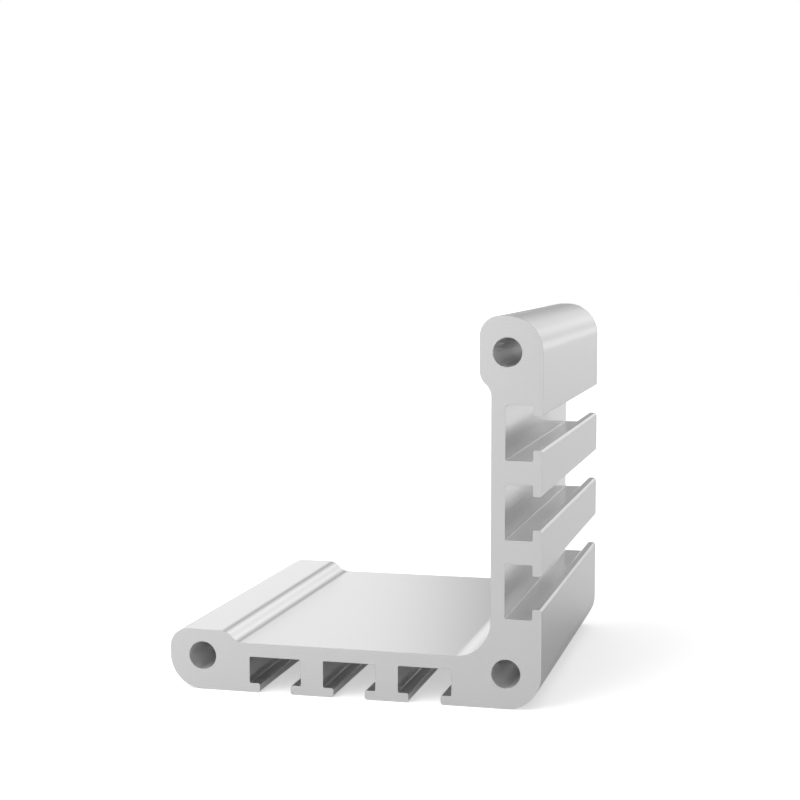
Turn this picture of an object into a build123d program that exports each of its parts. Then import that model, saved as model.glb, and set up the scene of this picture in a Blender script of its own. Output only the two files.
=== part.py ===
from build123d import *

import os
from math import acos, degrees, floor, sin

os.makedirs("parts", exist_ok=True)

# A length of aluminium T-slot angle profile, one extrusion with two equal legs. Each leg has T-slots in its
# outer face. A thicker rounded boss closes each leg's end and the corner, with a screw bore through it.
# Millimetres. It lies on one leg's outer face: X across that leg, Y along the extrusion, Z up.

# The cut length, and the outside width of each leg.
length = 100.0
leg_width = 99.0

# The bosses: the core bore for an 8 mm screw, and the walls round it towards the outside and the inside.
bore_radius = 3.7
bore_outer_wall = 5.3
bore_inner_wall = 3.3
end_inner_radius = 5.0
end_boss_run = 13.6

# The step from a boss down to the thinner leg, two equal arcs that run into each other.
step_height = 3.0
step_radius = 4.5

# The radius inside the angle, where the two legs meet.
inner_corner_radius = 9.0

# A T-slot: the opening between two lips, and the wider chamber behind them that holds a bolt head or a nut.
slot_opening = 8.4
lip_thickness = 2.4
lip_chamfer = 0.5
lip_inner_radius = 0.45
chamber_width = 14.0
chamber_depth = 7.0
chamber_radius = 0.4

# The slots' places along a leg, from the outside of the corner: the first one, then one at each pitch.
first_slot = 30.0
slot_pitch = 20.0

# The outside corners are concentric with the bores, so one radius places them both.
outer_radius = bore_radius + bore_outer_wall
boss_thickness = outer_radius + bore_radius + bore_inner_wall
leg_thickness = boss_thickness - step_height
step_angle = acos(1 - step_height / (2 * step_radius))
step_top = leg_width - end_boss_run
step_foot = step_top - 2 * step_radius * sin(step_angle)

# A leg holds as many slots as fit between the corner and the foot of its step.
slot_room = step_foot - chamber_width / 2 - first_slot
slot_places = [(first_slot + slot_pitch * i, 0) for i in range(1 + floor(slot_room / slot_pitch))]
slot_back = lip_thickness + chamber_depth

# The space of one T-slot, from the outer face inwards.
with BuildSketch() as slot:
    with BuildLine():
        side = Polyline(
            (slot_opening / 2 + lip_chamfer, 0),
            (slot_opening / 2, lip_chamfer),
            (slot_opening / 2, lip_thickness),
            (chamber_width / 2, lip_thickness),
            (chamber_width / 2, slot_back),
        )
        mirror(side, about=Plane.YZ)
        Line((-slot_opening / 2 - lip_chamfer, 0), (slot_opening / 2 + lip_chamfer, 0))
        Line((-chamber_width / 2, slot_back), (chamber_width / 2, slot_back))
    make_face()
    lip_edges = slot.vertices().group_by(Axis.Y)[-2].sort_by(Axis.X)[1:3]
    fillet(lip_edges, lip_inner_radius)
    chamber_corners = slot.vertices().group_by(lambda corner: abs(corner.X))[-1]
    fillet(chamber_corners, chamber_radius)

# The section is drawn from the outside of the corner, with local x along the leg that lies flat and local y
# up the other one. The flat leg is drawn first, cut off at the diagonal, and mirrored to make the other.
section_plane = Plane(origin=(leg_width / 2, -length / 2, 0), x_dir=(-1, 0, 0), z_dir=(0, 1, 0))
diagonal = Plane(origin=(0, 0, 0), x_dir=(0, 0, 1), z_dir=(1, -1, 0))

with BuildPart() as angle_profile:
    with BuildSketch(section_plane) as section:
        with BuildLine():
            Polyline(
                (leg_thickness, leg_thickness),
                (0, 0),
                (leg_width, 0),
                (leg_width, boss_thickness),
                (step_top, boss_thickness),
            )
            JernArc((step_top, boss_thickness), (-1, 0), step_radius, degrees(step_angle))
            JernArc((step_foot, leg_thickness), (1, 0), step_radius, degrees(step_angle))
            Line((step_foot, leg_thickness), (leg_thickness, leg_thickness))
        make_face()
        fillet(section.vertices().group_by(Axis.X)[-1].sort_by(Axis.Y)[0], outer_radius)
        fillet(section.vertices().group_by(Axis.X)[-1].sort_by(Axis.Y)[-1], end_inner_radius)
        with Locations(slot_places):
            add(slot.sketch, mode=Mode.SUBTRACT)
        with Locations((leg_width - outer_radius, outer_radius)):
            Circle(bore_radius, mode=Mode.SUBTRACT)
        mirror(about=diagonal)
        with Locations((outer_radius, outer_radius)):
            Circle(bore_radius, mode=Mode.SUBTRACT)
        fillet(section.vertices().sort_by_distance((0, 0))[0], outer_radius)
        inside = (leg_thickness, leg_thickness)
        fillet(section.vertices().sort_by_distance(inside)[0], inner_corner_radius)
    extrude(amount=length)

angle_profile.part.label = "angle_profile"
export_step(angle_profile.part, "parts/angle_profile.step")
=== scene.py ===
from math import pi, radians

import bpy
from mathutils import Matrix, Vector


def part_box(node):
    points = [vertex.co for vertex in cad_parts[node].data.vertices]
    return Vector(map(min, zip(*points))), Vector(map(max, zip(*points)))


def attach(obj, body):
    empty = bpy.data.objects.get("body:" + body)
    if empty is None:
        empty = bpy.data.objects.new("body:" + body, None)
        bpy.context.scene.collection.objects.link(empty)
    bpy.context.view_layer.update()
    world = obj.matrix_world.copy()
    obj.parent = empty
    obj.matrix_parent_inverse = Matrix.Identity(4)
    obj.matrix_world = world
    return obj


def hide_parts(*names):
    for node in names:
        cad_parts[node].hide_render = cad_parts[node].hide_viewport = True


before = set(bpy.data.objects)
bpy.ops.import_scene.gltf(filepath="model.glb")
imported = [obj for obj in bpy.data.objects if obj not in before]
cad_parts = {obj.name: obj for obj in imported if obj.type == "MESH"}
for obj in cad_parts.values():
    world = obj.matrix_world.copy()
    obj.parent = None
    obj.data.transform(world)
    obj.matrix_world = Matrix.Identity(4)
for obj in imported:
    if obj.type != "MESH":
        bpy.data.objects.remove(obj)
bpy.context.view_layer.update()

# A cut length of aluminium T-slot angle profile. It lies on one leg's outer face, with X across that leg, Y
# along the extrusion and Z up. Sizes are written in millimetres and used in metres.
mm = 0.001

# The outside width of a leg and the cut length are the solid's own.
box_low, box_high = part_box("angle_profile")
leg_width = box_high[2] - box_low[2]
cut_length = box_high[1] - box_low[1]

# The section's sizes, which are the tree's named inputs.
section_sizes = {
    "Cut length": cut_length,
    "Leg width": leg_width,
    "Bore radius": 3.7 * mm,
    "Outer radius": 9.0 * mm,
    "Boss thickness": 16.0 * mm,
    "End inner radius": 5.0 * mm,
    "End boss run": 13.6 * mm,
    "Step height": 3.0 * mm,
    "Step radius": 4.5 * mm,
    "Inner corner radius": 9.0 * mm,
    "First slot": 30.0 * mm,
    "Slot pitch": 20.0 * mm,
    "Slot opening": 8.4 * mm,
    "Lip thickness": 2.4 * mm,
    "Lip chamfer": 0.5 * mm,
    "Lip inner radius": 0.45 * mm,
    "Chamber width": 14.0 * mm,
    "Chamber depth": 7.0 * mm,
    "Chamber radius": 0.4 * mm,
    "Edge break": 0.04 * mm,
}
slots_on_a_leg = 3


def linear(hex_colour):
    """An sRGB hex colour as the linear colour that a shader takes."""
    channels = [int(hex_colour[start:start + 2], 16) / 255 for start in (1, 3, 5)]
    turned = [c / 12.92 if c <= 0.04045 else ((c + 0.055) / 1.055) ** 2.4 for c in channels]
    return (*turned, 1.0)


def add_node(tree, kind, settings, links):
    """Adds a node. Settings are its properties and fixed inputs, and links are the sockets that feed it."""
    made = tree.nodes.new(kind)
    for name, value in settings.items():
        if name in made.bl_rna.properties.keys():
            setattr(made, name, value)
        else:
            made.inputs[name].default_value = value
    for name, source in links.items():
        tree.links.new(source, made.inputs[name])
    return made


def profile_tree():
    """Builds the tree that draws the section and extrudes it, and says which input has which identifier."""
    tree = bpy.data.node_groups.new("t_slot_angle_extrusion", "GeometryNodeTree")
    identifiers = {}
    for name in section_sizes:
        entry = tree.interface.new_socket(name=name, in_out="INPUT", socket_type="NodeSocketFloat")
        entry.subtype = "DISTANCE"
        identifiers[name] = entry.identifier
    for name, kind in (("Slots on a leg", "Int"), ("Outer finish", "Material"), ("Slot finish and painted light", "Material"),
                       ("Bore finish and painted light", "Material"), ("Cut finish", "Material")):
        entry = tree.interface.new_socket(name=name, in_out="INPUT", socket_type="NodeSocket" + kind)
        identifiers[name] = entry.identifier
    tree.interface.new_socket(name="Profile", in_out="OUTPUT", socket_type="NodeSocketGeometry")
    given = add_node(tree, "NodeGroupInput", {}, {}).outputs

    # Lengths that follow from the sizes, each by one sum from those before it. The step down from a boss is
    # two equal arcs, and so two corners that are rounded until their arcs meet.
    lengths = {name: given[name] for name in section_sizes}
    lengths["Nothing"] = add_node(tree, "ShaderNodeValue", {}, {}).outputs[0]
    lengths["Nothing"].default_value = 0.0
    sums = {
        "Half opening": ("MULTIPLY", "Slot opening", 0.5),
        "Chamfer edge": ("ADD", "Half opening", "Lip chamfer"),
        "Half chamber": ("MULTIPLY", "Chamber width", 0.5),
        "Slot back": ("ADD", "Lip thickness", "Chamber depth"),
        "Leg thickness": ("SUBTRACT", "Boss thickness", "Step height"),
        "Step top": ("SUBTRACT", "Leg width", "End boss run"),
        "Step diameters": ("MULTIPLY", "Step radius", 4.0),
        "Step room": ("SUBTRACT", "Step diameters", "Step height"),
        "Step ratio": ("DIVIDE", "Step height", "Step room"),
        "Step half tangent": ("SQRT", "Step ratio", 0.0),
        "Step tangent": ("MULTIPLY", "Step radius", "Step half tangent"),
        "Step upper corner": ("SUBTRACT", "Step top", "Step tangent"),
        "Step share": ("DIVIDE", "Step height", "Step radius"),
        "Step run share": ("SUBTRACT", 2.0, "Step share"),
        "Step run": ("MULTIPLY", "Step tangent", "Step run share"),
        "Step lower corner": ("SUBTRACT", "Step upper corner", "Step run"),
        "Far bore": ("SUBTRACT", "Leg width", "Outer radius"),
        "Half length": ("MULTIPLY", "Cut length", 0.5),
        "Break start": ("SUBTRACT", "Half length", "Edge break"),
        "Far end": ("MULTIPLY", "Half length", -1.0),
        "Far break start": ("MULTIPLY", "Break start", -1.0),
        "Half width": ("MULTIPLY", "Leg width", 0.5),
    }

    # One slot has ten corners. The two sides mirror each other, so five rows give them: the distance from
    # the slot's middle, the depth and the rounding. A leg has six corners of its own, from the outside of
    # the angle to the inside: the distance along the leg, the distance from its outer face and the
    # rounding. A bore has one row: its place in the same two distances, and its radius.
    corner_rows = {
        "slot": (
            ("Chamfer edge", "Nothing", "Nothing"),
            ("Half opening", "Lip chamfer", "Nothing"),
            ("Half opening", "Lip thickness", "Lip inner radius"),
            ("Half chamber", "Lip thickness", "Chamber radius"),
            ("Half chamber", "Slot back", "Chamber radius"),
        ),
        "leg": (
            ("Nothing", "Nothing", "Outer radius"),
            ("Leg width", "Nothing", "Outer radius"),
            ("Leg width", "Boss thickness", "End inner radius"),
            ("Step upper corner", "Boss thickness", "Step radius"),
            ("Step lower corner", "Leg thickness", "Step radius"),
            ("Leg thickness", "Leg thickness", "Inner corner radius"),
        ),
        "bore": (
            ("Outer radius", "Outer radius", "Bore radius"),
            ("Far bore", "Outer radius", "Bore radius"),
            ("Outer radius", "Far bore", "Bore radius"),
        ),
    }

    # The walls carry a mark: 0 outside, 1 in a slot, from behind the lips' chamfers, and 2 in a bore. The
    # last of the steps below gives the slots theirs.
    slot_mark, bore_mark = 1.0, 2.0

    # Along a leg, the first point is the outside corner, then come those of the slots, then the leg's
    # others. A count is compared with a half, so that it is never on the limit.
    to_a_slot = 2 * len(corner_rows["slot"])
    to_a_leg = len(corner_rows["leg"])
    half = 0.5
    index = add_node(tree, "GeometryNodeInputIndex", {}, {}).outputs[0]
    counts = {"Index": index, "Slots": given["Slots on a leg"]}
    steps = {
        "Slot corners": ("MULTIPLY", "Slots", to_a_slot),
        "All corners": ("ADD", "Slot corners", to_a_leg),
        "Last corner": ("ADD", "Slot corners", to_a_leg - 1),
        "Past slots": ("SUBTRACT", "Index", "Slot corners"),
        "Leg row": ("MAXIMUM", "Past slots", 0.0),
        "From slot": ("SUBTRACT", "Index", 1.0),
        "Corner": ("MODULO", "From slot", to_a_slot),
        "Corner back": ("SUBTRACT", to_a_slot - 1, "Corner"),
        "Slot row": ("MINIMUM", "Corner", "Corner back"),
        "Slot share": ("DIVIDE", "From slot", to_a_slot),
        "Slot number": ("FLOOR", "Slot share", 0.0),
        "Second side": ("GREATER_THAN", "Corner", to_a_slot / 2 - half),
        "Twice": ("MULTIPLY", "Second side", 2.0),
        "Side": ("SUBTRACT", "Twice", 1.0),
        "Past first": ("GREATER_THAN", "Index", half),
        "Before last": ("LESS_THAN", "Leg row", half),
        "On a slot": ("MULTIPLY", "Past first", "Before last"),
        "Before shared": ("LESS_THAN", "Index", "Last corner"),
        "Not shared": ("MULTIPLY", "Past first", "Before shared"),
        "Shared": ("LESS_THAN", "Not shared", half),
        "Order back": ("MULTIPLY", "Index", -1.0),
        "Behind chamfer": ("GREATER_THAN", "Slot row", 1 + half),
        "Inside": ("MULTIPLY", "On a slot", "Behind chamfer"),
    }

    # Each sum is one node, fed by the given values and the sums before it.
    for table, known in ((sums, lengths), (steps, counts)):
        for name, (operation, *terms) in table.items():
            fixed = {i: term for i, term in enumerate(terms) if not isinstance(term, str)}
            fed = {i: known[term] for i, term in enumerate(terms) if isinstance(term, str)}
            known[name] = add_node(tree, "ShaderNodeMath", {"operation": operation, **fixed}, fed).outputs[0]

    row_of = {"slot": counts["Slot row"], "leg": counts["Leg row"], "bore": index}
    places, roundings = {}, {}
    for part, rows in corner_rows.items():
        place = add_node(tree, "GeometryNodeIndexSwitch", {"data_type": "VECTOR"}, {"Index": row_of[part]})
        rounding = add_node(tree, "GeometryNodeIndexSwitch", {"data_type": "FLOAT"}, {"Index": row_of[part]})
        for switch in (place, rounding):
            for _ in rows[2:]:
                switch.index_switch_items.new()
        for number, (along, up, radius) in enumerate(rows):
            spot = add_node(tree, "ShaderNodeCombineXYZ", {}, {"X": lengths[along], "Y": lengths[up]})
            tree.links.new(spot.outputs[0], place.inputs[str(number)])
            tree.links.new(lengths[radius], rounding.inputs[str(number)])
        places[part], roundings[part] = place.outputs[0], rounding.outputs[0]

    # A slot's corner moves out to its own slot and side.
    offset = add_node(tree, "ShaderNodeMath", {"operation": "MULTIPLY_ADD"},
                      {0: counts["Slot number"], 1: given["Slot pitch"], 2: given["First slot"]})
    side = add_node(tree, "ShaderNodeCombineXYZ", {"Y": 1.0, "Z": 1.0}, {"X": counts["Side"]})
    start = add_node(tree, "ShaderNodeCombineXYZ", {}, {"X": offset.outputs[0]})
    slot_place = add_node(tree, "ShaderNodeVectorMath", {"operation": "MULTIPLY_ADD"},
                          {0: places["slot"], 1: side.outputs[0], 2: start.outputs[0]})
    place = add_node(tree, "GeometryNodeSwitch", {"input_type": "VECTOR"}, {
        "Switch": counts["On a slot"], "False": places["leg"], "True": slot_place.outputs[0]})
    rounding = add_node(tree, "GeometryNodeSwitch", {"input_type": "FLOAT"}, {
        "Switch": counts["On a slot"], "False": roundings["leg"], "True": roundings["slot"]})
    leg_corners = add_node(tree, "GeometryNodePoints", {}, {
        "Count": counts["All corners"], "Position": place.outputs[0], "Radius": rounding.outputs[0]})
    leg = add_node(tree, "GeometryNodeStoreNamedAttribute", {"Name": "inner"},
                   {"Geometry": leg_corners.outputs[0], "Value": counts["Inside"]})

    # The other leg is the same corners over the diagonal, without the two that both legs share.
    down_order = add_node(tree, "GeometryNodeStoreNamedAttribute", {"Name": "order"},
                          {"Geometry": leg.outputs[0], "Value": counts["Order back"]})
    up_order = add_node(tree, "GeometryNodeStoreNamedAttribute", {"Name": "order"},
                        {"Geometry": leg.outputs[0], "Value": index})
    position = add_node(tree, "GeometryNodeInputPosition", {}, {})
    parts = add_node(tree, "ShaderNodeSeparateXYZ", {}, {"Vector": position.outputs[0]})
    swapped = add_node(tree, "ShaderNodeCombineXYZ", {}, {"X": parts.outputs["Y"], "Y": parts.outputs["X"]})
    mirrored = add_node(tree, "GeometryNodeSetPosition", {},
                        {"Geometry": up_order.outputs[0], "Position": swapped.outputs[0]})
    other_leg = add_node(tree, "GeometryNodeDeleteGeometry", {"domain": "POINT"},
                         {"Geometry": mirrored.outputs[0], "Selection": counts["Shared"]})
    both_legs = add_node(tree, "GeometryNodeJoinGeometry", {}, {"Geometry": down_order.outputs[0]})
    tree.links.new(other_leg.outputs[0], both_legs.inputs["Geometry"])
    order = add_node(tree, "GeometryNodeInputNamedAttribute", {"Name": "order"}, {})
    corners = add_node(tree, "GeometryNodePointsToCurves", {},
                       {"Points": both_legs.outputs[0], "Weight": order.outputs[0]})
    closed = add_node(tree, "GeometryNodeSetSplineCyclic", {"Cyclic": True},
                      {"Geometry": corners.outputs[0]})

    # Every corner is rounded by its own radius, with more facets on a larger one.
    radius = add_node(tree, "GeometryNodeInputRadius", {}, {})
    facets_per_metre, fewest_facets = 2000.0, 8.0
    facets = add_node(tree, "ShaderNodeMath",
                      {"operation": "MULTIPLY_ADD", 1: facets_per_metre, 2: fewest_facets},
                      {0: radius.outputs[0]})
    outline = add_node(tree, "GeometryNodeFilletCurve", {"mode": "POLY", "Limit Radius": True}, {
        "Curve": closed.outputs[0], "Count": facets.outputs[0], "Radius": radius.outputs[0]})

    # One bore circle stands on the middle of each boss.
    bore_facets = 72
    bore = add_node(tree, "GeometryNodeCurvePrimitiveCircle", {"Resolution": bore_facets},
                    {"Radius": given["Bore radius"]})
    bore_wall = add_node(tree, "GeometryNodeStoreNamedAttribute", {"Name": "inner", "Value": bore_mark},
                         {"Geometry": bore.outputs[0]})
    middles = add_node(tree, "GeometryNodePoints", {"Count": len(corner_rows["bore"])},
                       {"Position": places["bore"]})
    bores = add_node(tree, "GeometryNodeInstanceOnPoints", {},
                     {"Points": middles.outputs[0], "Instance": bore_wall.outputs[0]})
    bore_curves = add_node(tree, "GeometryNodeRealizeInstances", {}, {"Geometry": bores.outputs[0]})
    drawn = add_node(tree, "GeometryNodeJoinGeometry", {}, {"Geometry": outline.outputs[0]})
    tree.links.new(bore_curves.outputs[0], drawn.inputs["Geometry"])
    middle = add_node(tree, "ShaderNodeCombineXYZ", {}, {"X": lengths["Half width"]})
    section = add_node(tree, "GeometryNodeTransform", {"Scale": (-1.0, 1.0, 1.0)},
                       {"Geometry": drawn.outputs[0], "Translation": middle.outputs[0]})

    # The edge break draws the section in at both cut ends, square to its own edge.
    tangent = add_node(tree, "GeometryNodeInputTangent", {}, {})
    along = add_node(tree, "ShaderNodeSeparateXYZ", {}, {"Vector": tangent.outputs[0]})
    turned = add_node(tree, "ShaderNodeMath", {"operation": "MULTIPLY", 1: -1.0}, {0: along.outputs["Y"]})
    inward = add_node(tree, "ShaderNodeCombineXYZ", {}, {"X": turned.outputs[0], "Y": along.outputs["X"]})
    inset = add_node(tree, "ShaderNodeVectorMath", {"operation": "SCALE"},
                     {"Vector": inward.outputs[0], "Scale": given["Edge break"]})
    edged = add_node(tree, "GeometryNodeStoreNamedAttribute", {"data_type": "FLOAT_VECTOR", "Name": "inset"},
                     {"Geometry": section.outputs[0], "Value": inset.outputs[0]})
    inset_kept = add_node(tree, "GeometryNodeInputNamedAttribute",
                          {"data_type": "FLOAT_VECTOR", "Name": "inset"}, {})

    # The walls: the section swept along four rings, of which the first and last are drawn in.
    rings = ("Far end", "Far break start", "Break start", "Half length")
    ring_height = add_node(tree, "GeometryNodeIndexSwitch", {"data_type": "FLOAT"}, {"Index": index})
    for _ in rings[2:]:
        ring_height.index_switch_items.new()
    for number, name in enumerate(rings):
        tree.links.new(lengths[name], ring_height.inputs[str(number)])
    ring_place = add_node(tree, "ShaderNodeCombineXYZ", {}, {"Z": ring_height.outputs[0]})
    ring_points = add_node(tree, "GeometryNodePoints", {"Count": len(rings)},
                           {"Position": ring_place.outputs[0]})
    middle_ring = (len(rings) - 1) / 2
    from_middle = add_node(tree, "ShaderNodeMath", {"operation": "SUBTRACT", 1: middle_ring}, {0: index})
    distance = add_node(tree, "ShaderNodeMath", {"operation": "ABSOLUTE"}, {0: from_middle.outputs[0]})
    at_end = add_node(tree, "ShaderNodeMath", {"operation": "GREATER_THAN", 1: middle_ring - half},
                      {0: distance.outputs[0]})
    marked = add_node(tree, "GeometryNodeStoreNamedAttribute", {"Name": "drawn_in"},
                      {"Geometry": ring_points.outputs[0], "Value": at_end.outputs[0]})
    path = add_node(tree, "GeometryNodePointsToCurves", {}, {"Points": marked.outputs[0]})
    swept = add_node(tree, "GeometryNodeCurveToMesh", {},
                     {"Curve": path.outputs[0], "Profile Curve": edged.outputs[0]})
    drawn_in = add_node(tree, "GeometryNodeInputNamedAttribute", {"Name": "drawn_in"}, {})
    wall_inset = add_node(tree, "ShaderNodeVectorMath", {"operation": "SCALE"},
                          {"Vector": inset_kept.outputs[0], "Scale": drawn_in.outputs[0]})
    walls = add_node(tree, "GeometryNodeSetPosition", {},
                     {"Geometry": swept.outputs[0], "Offset": wall_inset.outputs[0]})

    # The cut ends: the drawn-in section filled, once for each end, with the far one turned to face outwards.
    small = add_node(tree, "GeometryNodeSetPosition", {},
                     {"Geometry": edged.outputs[0], "Offset": inset_kept.outputs[0]})
    filled = add_node(tree, "GeometryNodeFillCurve", {"mode": "TRIANGLES"}, {"Curve": small.outputs[0]})
    ends = {}
    for name, height in (("near", "Half length"), ("far", "Far end")):
        lift = add_node(tree, "ShaderNodeCombineXYZ", {}, {"Z": lengths[height]})
        ends[name] = add_node(tree, "GeometryNodeTransform", {},
                              {"Geometry": filled.outputs[0], "Translation": lift.outputs[0]}).outputs[0]
    far_end = add_node(tree, "GeometryNodeFlipFaces", {}, {"Mesh": ends["far"]})
    shell = add_node(tree, "GeometryNodeJoinGeometry", {}, {"Geometry": walls.outputs[0]})
    for end in (ends["near"], far_end.outputs[0]):
        tree.links.new(end, shell.inputs["Geometry"])
    weld_distance = 0.001 * mm
    welded = add_node(tree, "GeometryNodeMergeByDistance", {"Distance": weld_distance},
                      {"Geometry": shell.outputs[0]})

    # Rounds are smooth, and edges that turn by more than the crisp angle stay crisp.
    crisp_angle = radians(30)
    smooth = add_node(tree, "GeometryNodeSetShadeSmooth", {"domain": "FACE"},
                      {"Geometry": welded.outputs[0]})
    turn = add_node(tree, "GeometryNodeInputMeshEdgeAngle", {}, {})
    crisp = add_node(tree, "ShaderNodeMath", {"operation": "GREATER_THAN", 1: crisp_angle},
                     {0: turn.outputs["Unsigned Angle"]})
    shaded = add_node(tree, "GeometryNodeSetShadeSmooth", {"domain": "EDGE", "Shade Smooth": False},
                      {"Geometry": smooth.outputs[0], "Selection": crisp.outputs[0]})
    laid = add_node(tree, "GeometryNodeTransform", {"Rotation": (radians(90), 0.0, 0.0)},
                    {"Geometry": shaded.outputs[0]})

    # Each mark takes its finish. A face's mark is the mean of its corners', and the walls of a slot's mouth
    # have theirs on one side only, so a quarter of it is enough. The cut ends, which look along the
    # extrusion, take the saw's. The slot and bore walls take materials paler than the outer one, as painted
    # light in their shade.
    normal = add_node(tree, "GeometryNodeInputNormal", {}, {})
    faces = add_node(tree, "ShaderNodeSeparateXYZ", {}, {"Vector": normal.outputs[0]})
    size = add_node(tree, "ShaderNodeMath", {"operation": "ABSOLUTE"}, {0: faces.outputs["Y"]})
    sawn = add_node(tree, "ShaderNodeMath", {"operation": "GREATER_THAN", 1: half}, {0: size.outputs[0]})
    real = add_node(tree, "GeometryNodeRealizeInstances", {}, {"Geometry": laid.outputs[0]})
    marked_inner = add_node(tree, "GeometryNodeInputNamedAttribute", {"Name": "inner"}, {})
    wall = marked_inner.outputs[0]
    in_slot = add_node(tree, "ShaderNodeMath", {"operation": "GREATER_THAN", 1: slot_mark / 4}, {0: wall})
    in_bore = add_node(tree, "ShaderNodeMath", {"operation": "GREATER_THAN", 1: bore_mark - half}, {0: wall})
    finished = add_node(tree, "GeometryNodeSetMaterial", {},
                        {"Geometry": real.outputs[0], "Material": given["Outer finish"]})
    for surface, chosen in (("Slot finish and painted light", in_slot), ("Bore finish and painted light", in_bore), ("Cut finish", sawn)):
        finished = add_node(tree, "GeometryNodeSetMaterial", {}, {
            "Geometry": finished.outputs[0], "Selection": chosen.outputs[0], "Material": given[surface]})
    add_node(tree, "NodeGroupOutput", {}, {"Profile": finished.outputs[0]})
    return tree, identifiers


def finish(name, settings):
    """A material with its shader's fixed settings, its node tree, and the object's own coordinates."""
    made = bpy.data.materials.new(name)
    made.use_nodes = True
    shader = made.node_tree.nodes["Principled BSDF"]
    for socket, value in settings.items():
        shader.inputs[socket].default_value = value
    coordinates = add_node(made.node_tree, "ShaderNodeTexCoord", {}, {}).outputs["Object"]
    return made, shader, coordinates


# What the die leaves: fine lines along the profile, each a little brighter or duller than the next. The
# lines are this wide and long, run between two tones and two roughnesses, and are this deep. The slot and
# bore walls' tones are also set paler than the outer faces', as painted light in their shade.
die_lines_and_painted_light = {
    # The outer faces, extruded and then etched to an even satin. They give the eye a soft broad shine, in
    # which the lines are only just seen.
    "etched_extruded_aluminium": {
        "metallic": 1.0, "width": 0.6 * mm, "length": 60 * mm, "depth": 0.001 * mm,
        "tones": ("#C0C0C0", "#C4C4C4"), "roughness": (0.28, 0.32)},
    # The walls of the slots, burnished by the die's tongues and hardly reached by the etch. They are
    # smoother than the outer faces and mirror each other in long soft gleams. Their tones are paler than the
    # outer faces', which is painted light in the shade of the slots.
    "slot_wall_aluminium_painted_light": {
        "metallic": 0.85, "width": 0.8 * mm, "length": 40 * mm, "depth": 0.001 * mm,
        "tones": ("#D2D2D2", "#D6D6D6"), "roughness": (0.16, 0.2)},
    # The walls of the bores, drawn round a mandrel and left as drawn. They are dull, so that light gets far
    # down a narrow bore, and their nearly white tones are painted light, so that the eye sees grey there and
    # not black.
    "bore_wall_aluminium_painted_light": {
        "metallic": 0.77, "width": 0.8 * mm, "length": 30 * mm, "depth": 0.002 * mm,
        "tones": ("#F9F9F9", "#FFFFFF"), "roughness": (0.34, 0.42)},
}
metals = {}
for name, lines in die_lines_and_painted_light.items():
    metals[name], shader, coordinates = finish(name, {"Metallic": lines["metallic"]})
    paint = metals[name].node_tree
    stretched = add_node(paint, "ShaderNodeMapping",
                         {"Scale": (1 / lines["width"], 1 / lines["length"], 1 / lines["width"])},
                         {"Vector": coordinates})
    grain = add_node(paint, "ShaderNodeTexNoise", {"Scale": 1.0, "Detail": 2.0},
                     {"Vector": stretched.outputs[0]}).outputs[0]
    dark, light = (linear(tone) for tone in lines["tones"])
    tone = add_node(paint, "ShaderNodeMix", {"data_type": "RGBA", 6: dark, 7: light}, {0: grain})
    low, high = lines["roughness"]
    dullness = add_node(paint, "ShaderNodeMapRange", {"To Min": low, "To Max": high}, {"Value": grain})
    relief = add_node(paint, "ShaderNodeBump", {"Distance": lines["depth"]}, {"Height": grain})
    paint.links.new(tone.outputs[2], shader.inputs["Base Color"])
    paint.links.new(dullness.outputs[0], shader.inputs["Roughness"])
    paint.links.new(relief.outputs[0], shader.inputs["Normal"])

# The cut ends, left by a fine saw: wide shallow arcs round the blade's axle, which stood below the profile.
# They leave the face duller than the extruded ones, with a faint grain. A real fine saw's lines are about
# 0.2 mm apart and would be lost between pixels, so they are drawn wider apart.
blade_radius = 150 * mm
arc_pitch = 0.9 * mm
arc_depth = 0.0003 * mm
arc_tones = linear("#C1C1C1"), linear("#C3C3C3")
arc_roughness = 0.445, 0.455
metals["fine_sawn_aluminium"], shader, coordinates = finish("fine_sawn_aluminium", {"Metallic": 1.0})
paint = metals["fine_sawn_aluminium"].node_tree
about_axle = add_node(paint, "ShaderNodeMapping", {"Location": (0.0, 0.0, blade_radius)},
                      {"Vector": coordinates})
# A wave's rings are this far apart at a scale of 1.
wave_pitch = pi / 10
arcs = add_node(paint, "ShaderNodeTexWave",
                {"wave_type": "RINGS", "rings_direction": "Y", "Scale": wave_pitch / arc_pitch,
                 "Distortion": 2.0, "Detail": 2.0, "Detail Scale": 0.3},
                {"Vector": about_axle.outputs[0]}).outputs["Fac"]
dark, light = arc_tones
tone = add_node(paint, "ShaderNodeMix", {"data_type": "RGBA", 6: dark, 7: light}, {0: arcs})
low, high = arc_roughness
dullness = add_node(paint, "ShaderNodeMapRange", {"To Min": low, "To Max": high}, {"Value": arcs})
relief = add_node(paint, "ShaderNodeBump", {"Distance": arc_depth}, {"Height": arcs})
paint.links.new(tone.outputs[2], shader.inputs["Base Color"])
paint.links.new(dullness.outputs[0], shader.inputs["Roughness"])
paint.links.new(relief.outputs[0], shader.inputs["Normal"])

# The profile is made by its tree, then kept as a plain mesh.
tree, identifiers = profile_tree()
drawn = bpy.data.objects.new("profile_drawing", bpy.data.meshes.new("profile_drawing"))
bpy.context.scene.collection.objects.link(drawn)
extrusion = drawn.modifiers.new("extrusion", "NODES")
extrusion.node_group = tree
for name, size in section_sizes.items():
    extrusion[identifiers[name]] = size
extrusion[identifiers["Slots on a leg"]] = slots_on_a_leg
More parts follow.
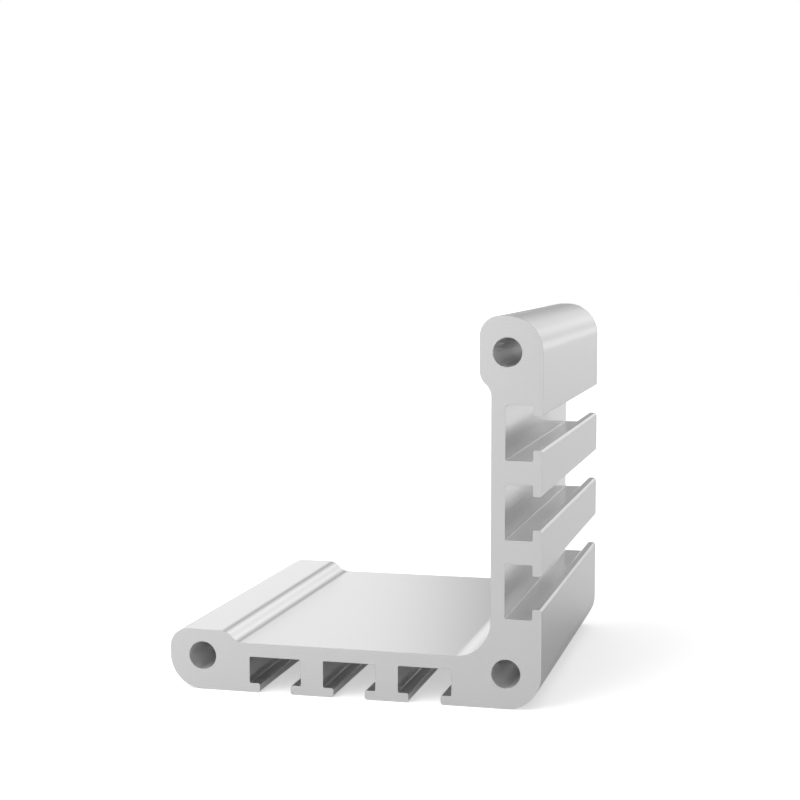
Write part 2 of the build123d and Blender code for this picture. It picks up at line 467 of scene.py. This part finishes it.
# The slot and bore walls get materials whose paler tones are painted light in their shade.
extrusion[identifiers["Outer finish"]] = metals["etched_extruded_aluminium"]
extrusion[identifiers["Slot finish and painted light"]] = metals["slot_wall_aluminium_painted_light"]
extrusion[identifiers["Bore finish and painted light"]] = metals["bore_wall_aluminium_painted_light"]
extrusion[identifiers["Cut finish"]] = metals["fine_sawn_aluminium"]
even = drawn.modifiers.new("even_shading", "WEIGHTED_NORMAL")
even.keep_sharp = True
settled = drawn.evaluated_get(bpy.context.evaluated_depsgraph_get())
profile_mesh = bpy.data.meshes.new_from_object(settled)
profile_mesh.name = "t_slot_angle"
profile_mesh.materials.pop(index=0)
for spare in ("inner", "order", "inset", "drawn_in"):
    if spare in profile_mesh.attributes:
        profile_mesh.attributes.remove(profile_mesh.attributes[spare])
bpy.data.objects.remove(drawn)
profile = bpy.data.objects.new("t_slot_angle", profile_mesh)
bpy.context.scene.collection.objects.link(profile)
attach(profile, "root")
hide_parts("angle_profile")

# A pale floor. It has a light of its own, which the camera sees in full. Reflections see about a quarter of
# it, because the photograph's metal shows the floor round the profile darker. It keeps the profile's shadow.
floor_mesh = bpy.data.meshes.new("floor")
reach = 3.0
floor_corners = [(-reach, -reach, 0), (reach, -reach, 0), (reach, reach, 0), (-reach, reach, 0)]
floor_mesh.from_pydata(floor_corners, [], [(0, 1, 2, 3)])
floor = bpy.data.objects.new("floor", floor_mesh)
bpy.context.scene.collection.objects.link(floor)
floor_paint = bpy.data.materials.new("matt_white_floor")
floor_paint.use_nodes = True
paint = floor_paint.node_tree
floor_shader = paint.nodes["Principled BSDF"]
floor_shader.inputs["Base Color"].default_value = linear("#E4E4E4")
floor_shader.inputs["Roughness"].default_value = 1.0
floor_shader.inputs["Specular IOR Level"].default_value = 0.0
floor_shader.inputs["Emission Color"].default_value = linear("#FFFFFF")
camera_glow, reflected_share = 0.51, 0.235
rays = add_node(paint, "ShaderNodeLightPath", {}, {})
reflected = add_node(paint, "ShaderNodeMath", {"operation": "MAXIMUM"},
                     {0: rays.outputs["Is Glossy Ray"], 1: rays.outputs["Is Transmission Ray"]})
seen = add_node(paint, "ShaderNodeMath", {"operation": "MULTIPLY_ADD", 1: reflected_share},
                {0: reflected.outputs[0], 2: rays.outputs["Is Camera Ray"]})
glow = add_node(paint, "ShaderNodeMath", {"operation": "MULTIPLY", 1: camera_glow}, {0: seen.outputs[0]})
paint.links.new(glow.outputs[0], floor_shader.inputs["Emission Strength"])
floor_mesh.materials.append(floor_paint)

# A studio that is evenly light all round, at this strength. The camera sees it as white. The floor and the
# metal also meet a photographer's soft cards: bright ones add to the room's light, and dark ones take from
# it. Together they bring the floor to about the light at which a colour looks as it is written. A card's
# row is in degrees. Its middle is turned this far to the left of straight behind the profile, and it
# reaches this far to each side, and from this height to that one above the floor. Its edges fade by the
# softness, and last is its strength. The rows were fitted by a program to the photograph's greys, rounded,
# and in part set again.
room_light = 1.3
cards = {
    "low key at the front left": (138, 22, -20, 12, 5, 3.5),
    "high key at the front left": (132, 29, 12, 61, 10, 1.9),
    "dim wall on the right": (-109, 84, -20, 64, 4, -0.9),
    "dim wall on the left": (78, 48, -20, 71, 4, -0.65),
    "dim ceiling": (-11, 50, 41, 120, 11, -0.4),
    "low card behind on the right": (-25, 9, -20, 5, 2, 2.1),
    "middle card behind on the right": (-22, 8, 8, 21, 5, 1.25),
    "dark gap behind on the right": (-11, 8, -20, 14, 2, -1.0),
    "low strip straight behind": (-3, 4, -20, 8, 2, 1.8),
    "card high behind": (-4, 9, 18, 33, 3, 0.8),
    "dark gap straight behind": (5, 7, -20, 37, 3, -0.85),
    "faint card behind on the left": (21, 8, 4, 26, 4, 0.1),
}
world = bpy.data.worlds.new("white_studio_with_soft_cards")
world.use_nodes = True
bpy.context.scene.world = world
studio = world.node_tree
direction = add_node(studio, "ShaderNodeTexCoord", {}, {})
aim = add_node(studio, "ShaderNodeSeparateXYZ", {}, {"Vector": direction.outputs["Generated"]})
leftward = add_node(studio, "ShaderNodeMath", {"operation": "MULTIPLY", 1: -1.0}, {0: aim.outputs["X"]})
bearing = add_node(studio, "ShaderNodeMath", {"operation": "ARCTAN2"},
                   {0: leftward.outputs[0], 1: aim.outputs["Y"]})
turned = add_node(studio, "ShaderNodeMath", {"operation": "DEGREES"}, {0: bearing.outputs[0]})
rise = add_node(studio, "ShaderNodeMath", {"operation": "ARCSINE"}, {0: aim.outputs["Z"]})
height = add_node(studio, "ShaderNodeMath", {"operation": "DEGREES"}, {0: rise.outputs[0]})
total = add_node(studio, "ShaderNodeValue", {}, {})
total.outputs[0].default_value = room_light
for middle, side, lower, upper, softness, strength in cards.values():
    from_middle = add_node(studio, "ShaderNodeMath", {"operation": "SUBTRACT", 1: middle},
                           {0: turned.outputs[0]})
    wrapped = add_node(studio, "ShaderNodeMath", {"operation": "WRAP", 1: 180.0, 2: -180.0},
                       {0: from_middle.outputs[0]})
    away = add_node(studio, "ShaderNodeMath", {"operation": "ABSOLUTE"}, {0: wrapped.outputs[0]})
    card = add_node(studio, "ShaderNodeValue", {}, {})
    card.outputs[0].default_value = strength
    for place, outside, inside in ((away, side + softness, side - softness),
                                   (height, lower - softness, lower + softness),
                                   (height, upper + softness, upper - softness)):
        card = add_node(studio, "ShaderNodeMapRange",
                        {"interpolation_type": "SMOOTHSTEP", "From Min": outside, "From Max": inside},
                        {"Value": place.outputs[0], "To Max": card.outputs[0]})
    total = add_node(studio, "ShaderNodeMath", {"operation": "ADD"},
                     {0: total.outputs[0], 1: card.outputs[0]})
lit = add_node(studio, "ShaderNodeMath", {"operation": "MAXIMUM", 1: 0.0}, {0: total.outputs[0]})
rays = add_node(studio, "ShaderNodeLightPath", {}, {})
white = 1.0
sky_strength = add_node(studio, "ShaderNodeMix", {"B": white},
                        {"Factor": rays.outputs["Is Camera Ray"], "A": lit.outputs[0]})
sky = studio.nodes["Background"]
sky.inputs["Color"].default_value = linear("#FFFFFF")
studio.links.new(sky_strength.outputs[0], sky.inputs["Strength"])

# The photograph's view: the frame's side and the focal length in its pixels, the pixel that the camera looks
# straight at, where it stands, and which way it looks. The view was fitted by a program to edges measured on
# the photograph.
frame_pixels = 800
focal_pixels = 1651.05
middle_across, middle_down = 408.794, 403.702
camera_place = Vector((115.81, -450.60, 114.82)) * mm
ahead = Vector((-0.24211, 0.96589, -0.09187)).normalized()
right = ahead.cross(Vector((0.0, 0.0, 1.0))).normalized()
lens = bpy.data.cameras.new("camera")
lens.sensor_width = 36.0
lens.lens = focal_pixels / frame_pixels * lens.sensor_width
lens.shift_x = (frame_pixels / 2 - middle_across) / frame_pixels
lens.shift_y = (middle_down - frame_pixels / 2) / frame_pixels
lens.clip_start = 0.01
camera = bpy.data.objects.new("camera", lens)
bpy.context.scene.collection.objects.link(camera)
axes = Matrix((right, right.cross(ahead), -ahead)).transposed()
camera.matrix_world = Matrix.Translation(camera_place) @ axes.to_4x4()
bpy.context.scene.camera = camera

# The light takes many bounces to get down the bores and slots.
bounces = 24
bpy.context.scene.cycles.max_bounces = bounces
bpy.context.scene.cycles.glossy_bounces = bounces
bpy.context.scene.view_settings.view_transform = "Standard"
